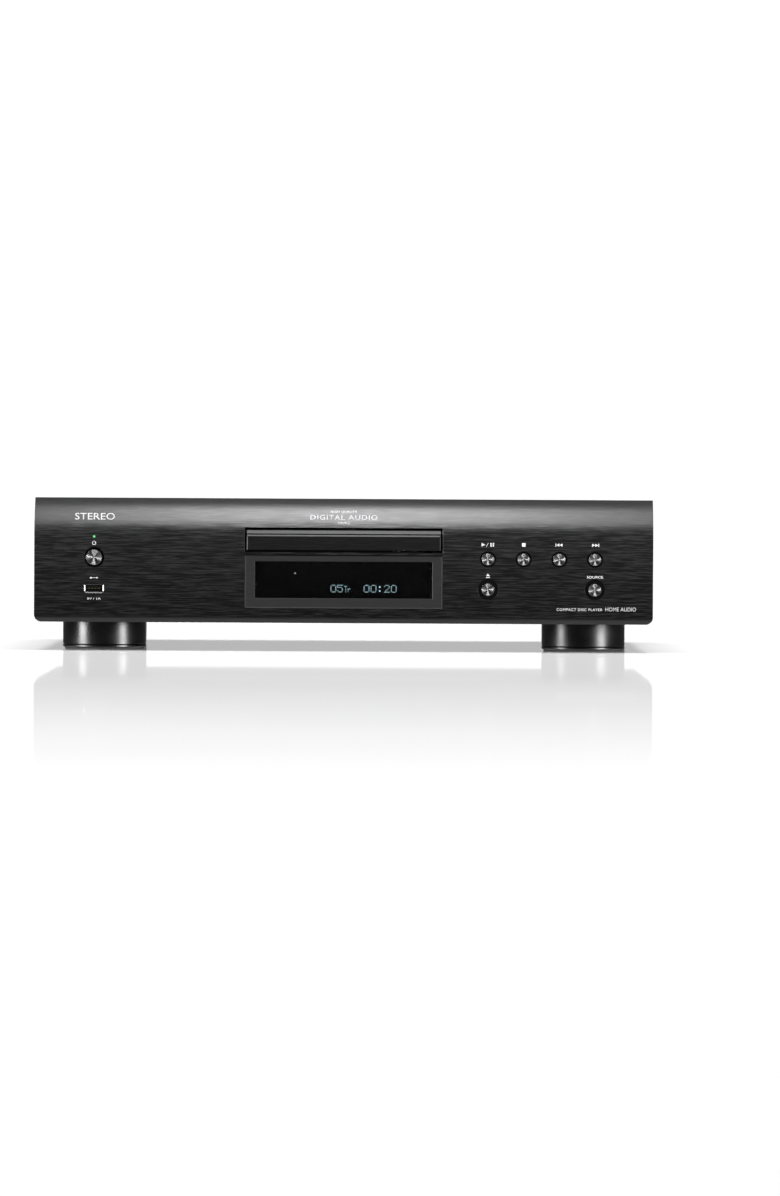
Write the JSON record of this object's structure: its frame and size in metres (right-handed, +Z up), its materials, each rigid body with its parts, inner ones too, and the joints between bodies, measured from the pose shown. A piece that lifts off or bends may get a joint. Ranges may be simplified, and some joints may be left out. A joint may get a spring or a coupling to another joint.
{
  "type": "compact disc player",
  "caption": "Full-width disc player: brushed fascia rolled back at the top, motorised disc tray over a framed display, round push buttons, drum feet.",
  "frame": {"origin": "on the floor under the middle of the case", "axes": "+Z up, -Y towards the front, +X to the right of someone facing the fascia"},
  "size_m": [0.434, 0.328, 0.107],
  "materials": {
    "black_aluminium": "brushed, black anodised",
    "black_steel": "fine textured black paint",
    "spun_metal": "spun, dark anodised",
    "black_plastic": "moulded, satin",
    "surround_plastic": "satin dark grey",
    "smoked_acrylic": "smoked, polished",
    "display_glass": "dark green-grey glass",
    "lamp_plastic": "translucent green",
    "board": "green lacquered laminate",
    "switch_plastic": "moulded",
    "steel": "zinc plated",
    "dark_screws": "black zinc",
    "white_plastic": "moulded",
    "grey_plastic": "moulded",
    "acetal": "moulded, natural",
    "rubber": "matte",
    "foot_plastic": "satin black",
    "gold": "gold plated",
    "aluminium": "extruded",
    "copper": "enamelled wire under tape",
    "clear_lens": "coated",
    "chip_black": "moulded",
    "capacitor_sleeve": "printed sleeve",
    "insulator": "moulded"
  },
  "bodies": {
    "case": {"front_panel": "black_aluminium", "front_frame": "black_plastic", "display_bezel": "surround_plastic", "display_window": "smoked_acrylic", "display_panel": "display_glass", "led_light_pipe": "lamp_plastic", "front_board": "board", "tact_switches": "switch_plastic", "usb_shell": "steel", "usb_tongue": "white_plastic", "loader_frame": "black_plastic", "clamp_bridge": "steel", "loading_motor": "steel", "drive_belt": "rubber", "chassis_base": "steel", "rear_panel": "black_steel", "top_cover": "black_steel", "foot_cups": "foot_plastic", "foot_pads": "rubber", "hidden_screws": "steel", "case_screws": "dark_screws", "transformer_core": "steel", "transformer_windings": "copper", "power_board": "board", "main_board": "board", "capacitors": "capacitor_sleeve", "heat_sink": "aluminium", "chips": "chip_black", "ribbon_cable": "white_plastic", "board_sockets": "black_plastic", "output_barrels": "gold", "output_insulators": "insulator", "optical_socket": "black_plastic", "mains_inlet": "black_plastic"},
    "tray": {"tray_door": "black_aluminium", "disc_tray": "black_plastic"},
    "drive": {"drive_gear": "acetal"},
    "belt_wheel": {"belt_pulley": "acetal"},
    "motor_shaft": {"motor_pulley": "acetal"},
    "power": {"power_button": "spun_metal"},
    "play": {"play_button": "spun_metal"},
    "stop": {"stop_button": "spun_metal"},
    "previous": {"previous_button": "spun_metal"},
    "next": {"next_button": "spun_metal"},
    "eject": {"eject_button": "spun_metal"},
    "source": {"source_button": "spun_metal"},
    "traverse": {"traverse_frame": "black_plastic", "damper_grommets": "rubber", "optical_base": "steel", "guide_rods": "steel", "spindle_motor": "steel", "feed_motor": "steel"},
    "spindle": {"turntable": "black_plastic"},
    "feed_shaft": {"feed_pinion": "acetal"},
    "feed_wheel": {"feed_gear": "acetal"},
    "pickup": {"pickup_sled": "grey_plastic"},
    "lens": {"objective_lens": "clear_lens"},
    "cam": {"cam_slider": "white_plastic"},
    "clamp": {"clamp_puck": "grey_plastic"},
    "flap": {"optical_flap": "black_plastic"}
  },
  "joints": [
    {"name": "tray_slide", "type": "slide", "parent": "case", "child": "tray", "axis": [0, -1, 0], "range_m": [0, 0.145]},
    {"name": "drive_spin", "type": "hinge", "parent": "case", "child": "drive", "pos_m": [0.046, -0.129, 0.066], "axis": [0, 0, 1], "continuous": true},
    {"name": "belt_wheel_spin", "type": "hinge", "parent": "case", "child": "belt_wheel", "pos_m": [0.0268, -0.129, 0.065], "axis": [0, 0, 1], "continuous": true},
    {"name": "motor_spin", "type": "hinge", "parent": "case", "child": "motor_shaft", "pos_m": [-0.02, -0.131, 0.062], "axis": [0, 0, 1], "continuous": true},
    {"name": "power_press", "type": "slide", "parent": "case", "child": "power", "axis": [0, 1, 0], "range_m": [0, 0.0006], "stiffness_N_per_m": 2000},
    {"name": "play_press", "type": "slide", "parent": "case", "child": "play", "axis": [0, 1, 0], "range_m": [0, 0.0006], "stiffness_N_per_m": 2000},
    {"name": "stop_press", "type": "slide", "parent": "case", "child": "stop", "axis": [0, 1, 0], "range_m": [0, 0.0006], "stiffness_N_per_m": 2000},
    {"name": "previous_press", "type": "slide", "parent": "case", "child": "previous", "axis": [0, 1, 0], "range_m": [0, 0.0006], "stiffness_N_per_m": 2000},
    {"name": "next_press", "type": "slide", "parent": "case", "child": "next", "axis": [0, 1, 0], "range_m": [0, 0.0006], "stiffness_N_per_m": 2000},
    {"name": "eject_press", "type": "slide", "parent": "case", "child": "eject", "axis": [0, 1, 0], "range_m": [0, 0.0006], "stiffness_N_per_m": 2000},
    {"name": "source_press", "type": "slide", "parent": "case", "child": "source", "axis": [0, 1, 0], "range_m": [0, 0.0006], "stiffness_N_per_m": 2000},
    {"name": "traverse_tilt", "type": "hinge", "parent": "case", "child": "traverse", "pos_m": [0, 0.024, 0.062], "axis": [-1, 0, 0], "range_deg": [0, 4.45]},
    {"name": "cam_slide", "type": "slide", "parent": "case", "child": "cam", "axis": [1, 0, 0], "range_m": [0, 0.012]},
    {"name": "turntable_spin", "type": "hinge", "parent": "traverse", "child": "spindle", "pos_m": [0, -0.08729, 0.06136], "axis": [0, -0.0776, 0.997], "continuous": true},
    {"name": "pickup_slide", "type": "slide", "parent": "traverse", "child": "pickup", "axis": [0, 0.997, 0.0776], "range_m": [0, 0.034]},
    {"name": "feed_wheel_spin", "type": "hinge", "parent": "traverse", "child": "feed_wheel", "pos_m": [0.0353, -0.04364, 0.05473], "axis": [0, -0.0776, 0.997], "continuous": true},
    {"name": "feed_shaft_spin", "type": "hinge", "parent": "traverse", "child": "feed_shaft", "pos_m": [0.0353, -0.05477, 0.05085], "axis": [0, -0.0776, 0.997], "continuous": true},
    {"name": "lens_focus", "type": "slide", "parent": "pickup", "child": "lens", "axis": [0, -0.0776, 0.997], "range_m": [-0.0006, 0.0006], "stiffness_N_per_m": 60},
    {"name": "clamp_spin", "type": "hinge", "parent": "case", "child": "clamp", "pos_m": [0, -0.087, 0.085], "axis": [0, 0, 1], "continuous": true},
    {"name": "flap_hinge", "type": "hinge", "parent": "case", "child": "flap", "pos_m": [0.094, 0.1483, 0.0586], "axis": [-1, 0, 0], "range_deg": [0, 80], "stiffness_Nm_per_rad": 0.002}
  ],
  "couplings": [
    {"joint": "drive_spin", "follows": "tray_slide", "rad_per_m": -90.909},
    {"joint": "belt_wheel_spin", "follows": "tray_slide", "rad_per_m": 272.73},
    {"joint": "motor_spin", "follows": "tray_slide", "rad_per_m": 1042.8},
    {"joint": "cam_slide", "follows": "traverse_tilt", "m_per_rad": 0.15449},
    {"joint": "feed_wheel_spin", "follows": "pickup_slide", "rad_per_m": -208.33},
    {"joint": "feed_shaft_spin", "follows": "pickup_slide", "rad_per_m": 583.33}
  ]
}
